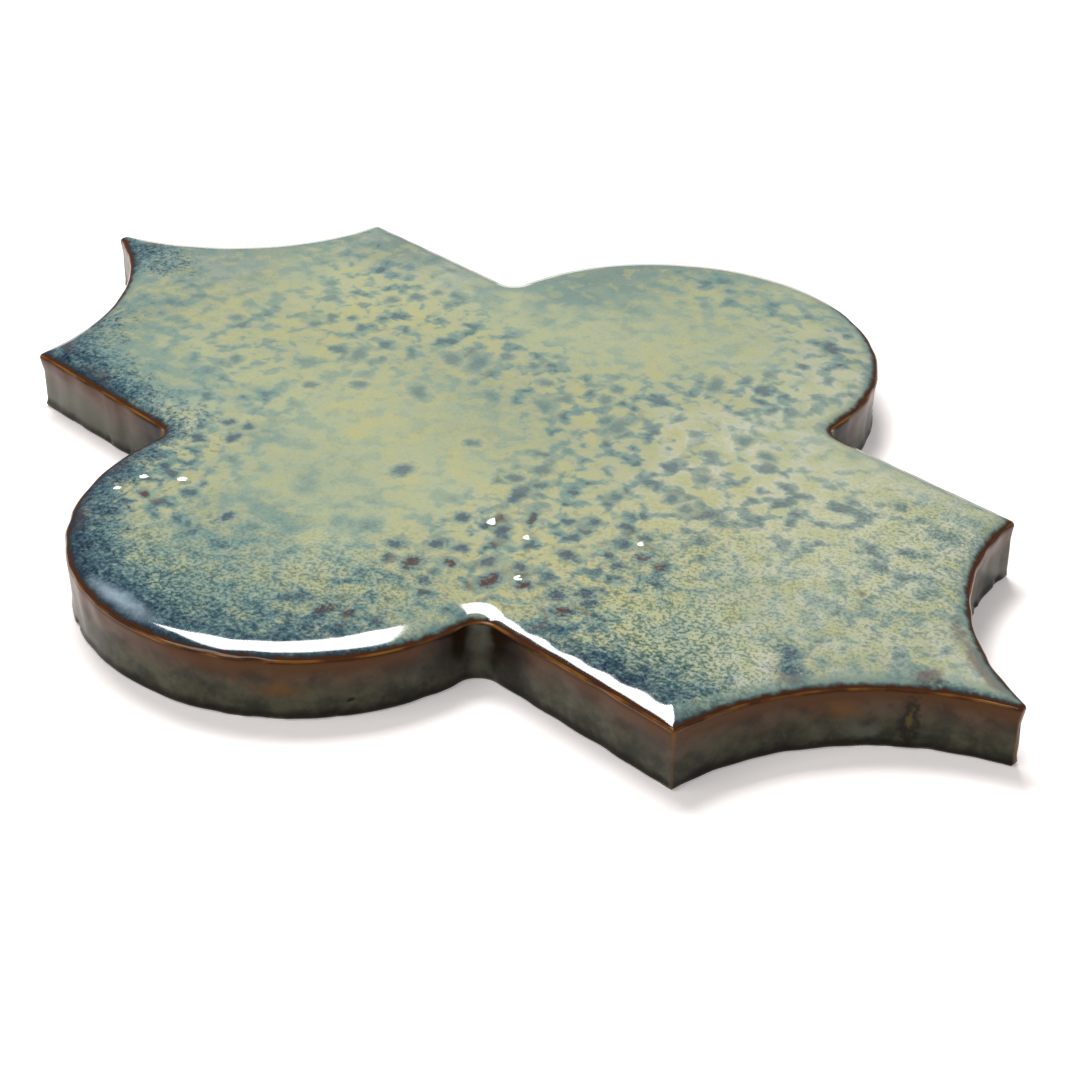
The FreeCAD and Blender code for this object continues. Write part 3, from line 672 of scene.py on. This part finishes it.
# grey green below and brown above, which the height and some cloudy noise divide, with paler copies
# of each on the far left sides as painted sheen
position = node("TexCoord", {}).outputs["Object"]
solid = node("Mapping", {"Vector": position, "Scale": (1 / MM, 1 / MM, 1 / MM)}).outputs[0]
height = node("SeparateXYZ", {0: solid}).outputs[2]
painted_sheen_side = kept("painted_sheen_side")
dark_green = blend(ease(cloud(solid, 3.5, 4, 0.6), -0.2, 0.2), DEEP_GREEN, GREY_GREEN)
dark_brown = blend(ease(cloud(solid, 4, 3), -0.12, 0.12), DEEP_BROWN, WARM_BROWN)
side_green = blend(painted_sheen_side, dark_green, SHEEN_GREEN)
side_brown = blend(painted_sheen_side, dark_brown, SHEEN_BROWN)
browning = maths("ADD", height, maths("MULTIPLY", cloud(solid, 8, 4, 0.55), 6))
sides = blend(ease(browning, 3.2, 7.5), side_green, side_brown)
under_arris = maths("ADD", height, maths("MULTIPLY", cloud(solid, 6, 4, 0.6), 3.5))
sides = blend(ease(under_arris, 6.0, 8.8), sides, blend(painted_sheen_side, AMBER_BROWN, SHEEN_AMBER_BROWN))

# the marks of the firing: amber ones on the lobe and the right end, a pale one, a drip and a nick
amber_mark = inside_oval(solid, (24.7, -64.2, 5.0), (4.4, 4.4, 1.9))
amber_mark = maths("MAXIMUM", amber_mark, inside_oval(solid, (80.5, -14.9, 6.4), (4.5, 4.5, 1.9)))
amber_mark = maths("ADD", amber_mark, maths("MULTIPLY", cloud(solid, 3, 3), 1.4))
sides = blend(ease(amber_mark, -0.2, 1.0, 0, 0.75), sides, AMBER_MARK)
pale_mark = inside_oval(solid, (83.1, -11.9, 2.6), (3.4, 3.4, 1.9))
pale_mark = maths("ADD", pale_mark, maths("MULTIPLY", cloud(solid, 2, 3), 1.2))
sides = blend(ease(pale_mark, 0.0, 0.8, 0, 0.6), sides, PALE_MARK)
drip = inside_oval(solid, (87.6, -7.7, 4.2), (1.5, 1.5, 4.6))
drip = maths("ADD", drip, maths("MULTIPLY", cloud(solid, 1.5, 3), 1.6))
sides = blend(ease(drip, -0.1, 0.4, 0, 0.85), sides, DRIP)
sides = blend(ease(drip, 0.45, 0.9, 0, 0.8), sides, DRIP_CORE)
nick_mark = maths("ADD", inside_oval(solid, (30.6, -56.8, 2.8), (0.9, 0.9, 0.6)), cloud(solid, 0.8, 2))
sides = blend(ease(nick_mark, 0.0, 0.4, 0, 0.9), sides, NICK)

# a dark low edge that is partly painted contact shade, painted shade in bands beside the inner corners
# with a pale stripe in each corner, and a brown line down each arris
# the glaze's dark end at the foot, widened upwards into painted contact shade
low_edge_and_shade = maths("ADD", height, maths("MULTIPLY", cloud(solid, 2, 3), 1.4))
sides = blend(ease(low_edge_and_shade, 2.2, 0.7, 0, 0.85), sides, LOW_EDGE_AND_SHADE)
from_inner = maths("ADD", kept("from_inner"), maths("MULTIPLY", cloud(solid, 3, 3), 2.5))
# painted shade beside each inner corner, darkest towards the top of the side
painted_corner_shade = maths("MULTIPLY", ease(from_inner, 10.0, 5.0), ease(height, -2.0, 7.0))
sides = blend(maths("MULTIPLY", painted_corner_shade, 0.9), sides, CORNER_PAINTED_SHADE)
sides = blend(ease(from_inner, 2.1, 0.6, 0, 0.7), sides, CORNER_STRIPE)
sides = blend(ease(kept("from_corner"), 0.8, 0.3, 0, 0.7), sides, CORNER_LINE)

# bare clay on the foot and the back
unglazed = ease(maths("ADD", height, maths("MULTIPLY", cloud(solid, 1.5, 3), 0.3)), 0.3, 0.15)
clay = blend(ease(cloud(solid, 2, 4, 0.7), -0.15, 0.15), DARK_CLAY, LIGHT_CLAY)
tree.links.new(blend(unglazed, sides, clay), shader.inputs["Base Color"])
tree.links.new(ease(unglazed, 0, 1, thin_roughness, clay_roughness), shader.inputs["Roughness"])
shader.inputs["IOR"].default_value = glaze_ior
shader.inputs["Specular IOR Level"].default_value = thin_sheen
mesh.materials.append(thin_glaze)

# the thin glaze begins two rings of the mesh above the foot of the arris, and goes on to the back's fan
first_thin = face_rows + arris_rows - 3
thin_rings = np.arange(len(rows) - 1) >= first_thin
fans = np.repeat([0, 1], column_count)
thinly = np.concatenate([np.repeat(thin_rings, column_count), fans])
mesh.polygons.foreach_set("material_index", thinly.astype(np.int32))

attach(tile, "root")
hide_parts(NODE)

# Floor
# A white sheet that runs far past the tile.  A light of its own, which only the camera and reflections
# see, lifts it: a little near the tile, where it keeps the shadow, and to plain white further off.

floor_colour = (0.97, 0.91, 0.885, 1)
sheet_reach = 20.0
near_lift, far_lift = 0.30, 1.0
lift_from, lift_to = 0.4, 1.1  # metres from the tile's middle
sheet_mesh = bpy.data.meshes.new("floor")
sheet_corners = [(s * sheet_reach, t * sheet_reach, 0) for s, t in ((-1, -1), (1, -1), (1, 1), (-1, 1))]
sheet_mesh.from_pydata(sheet_corners, [], [(0, 1, 2, 3)])
floor = bpy.data.objects.new("floor", sheet_mesh)
bpy.context.scene.collection.objects.link(floor)
white = bpy.data.materials.new("floor_white")
white.use_nodes = True
tree = white.node_tree
paper = tree.nodes["Principled BSDF"]
paper.inputs["Base Color"].default_value = floor_colour
paper.inputs["Roughness"].default_value = 0.9
paper.inputs["Emission Color"].default_value = (1, 1, 1, 1)
seen = node("LightPath", {}).outputs
lift = maths("MAXIMUM", seen["Is Camera Ray"], seen["Is Glossy Ray"])
lift = maths("MAXIMUM", lift, seen["Is Transmission Ray"])
position = node("TexCoord", {}).outputs["Object"]
away = node("VectorMath", {0: position}, operation="LENGTH").outputs["Value"]
lift = maths("MULTIPLY", lift, ease(away, lift_from, lift_to, near_lift, far_lift))
tree.links.new(lift, paper.inputs["Emission Strength"])
sheet_mesh.materials.append(white)

# Light
# One large softbox high up behind the tile, whose image is the white band along the near roll, a wide
# soft fill on the near side, and a dim even room.

aim = Vector((0.016, -0.006, 0.011))


def softbox(name, way, distance, wide, high, radiance):
    """A rectangular lamp that faces the tile from a way, with the radiance that its face shows."""
    lamp = bpy.data.lights.new(name, "AREA")
    lamp.shape = "RECTANGLE"
    lamp.size, lamp.size_y = wide, high
    lamp.energy = radiance * math.pi * wide * high
    stand = bpy.data.objects.new(name, lamp)
    stand.location = aim + Vector(way).normalized() * distance
    stand.rotation_mode = "QUATERNION"
    stand.rotation_quaternion = Vector(way).to_track_quat("Z", "Y")
    bpy.context.scene.collection.objects.link(stand)


softbox("softbox", way=(-0.432, 0.212, 0.877), distance=1.0, wide=0.46, high=0.33, radiance=19.5)
softbox("fill", way=(-0.15, -0.5, 0.85), distance=1.4, wide=0.8, high=0.8, radiance=2.8)
room_light = (0.19, 0.175, 0.17, 1)
world = bpy.data.worlds.new("room")
world.use_nodes = True
world.node_tree.nodes["Background"].inputs["Color"].default_value = room_light
world.node_tree.nodes["Background"].inputs["Strength"].default_value = 1.0
bpy.context.scene.world = world

# Camera
# Looks down on the tile from beyond its near lobe and its right end, through a 75 mm lens.

camera_azimuth, camera_elevation, camera_roll = (math.radians(a) for a in (45.045, 32.44, 0.753))
camera_target = Vector((16.02, -6.48, 0)) * MM
camera_distance = 347.99 * MM
camera = bpy.data.cameras.new("camera")
camera.sensor_width = 36.0
camera.lens = 75.4
camera.clip_start = 0.01
view = bpy.data.objects.new("camera", camera)
sideways, upwards = math.cos(camera_elevation), math.sin(camera_elevation)
back_way = Vector((math.sin(camera_azimuth) * sideways, -math.cos(camera_azimuth) * sideways, upwards))
view.location = camera_target + back_way * camera_distance
view.rotation_mode = "QUATERNION"
view.rotation_quaternion = back_way.to_track_quat("Z", "Y") @ Quaternion((0, 0, 1), camera_roll)
bpy.context.scene.collection.objects.link(view)
bpy.context.scene.camera = view

bpy.context.scene.view_settings.view_transform = "Standard"
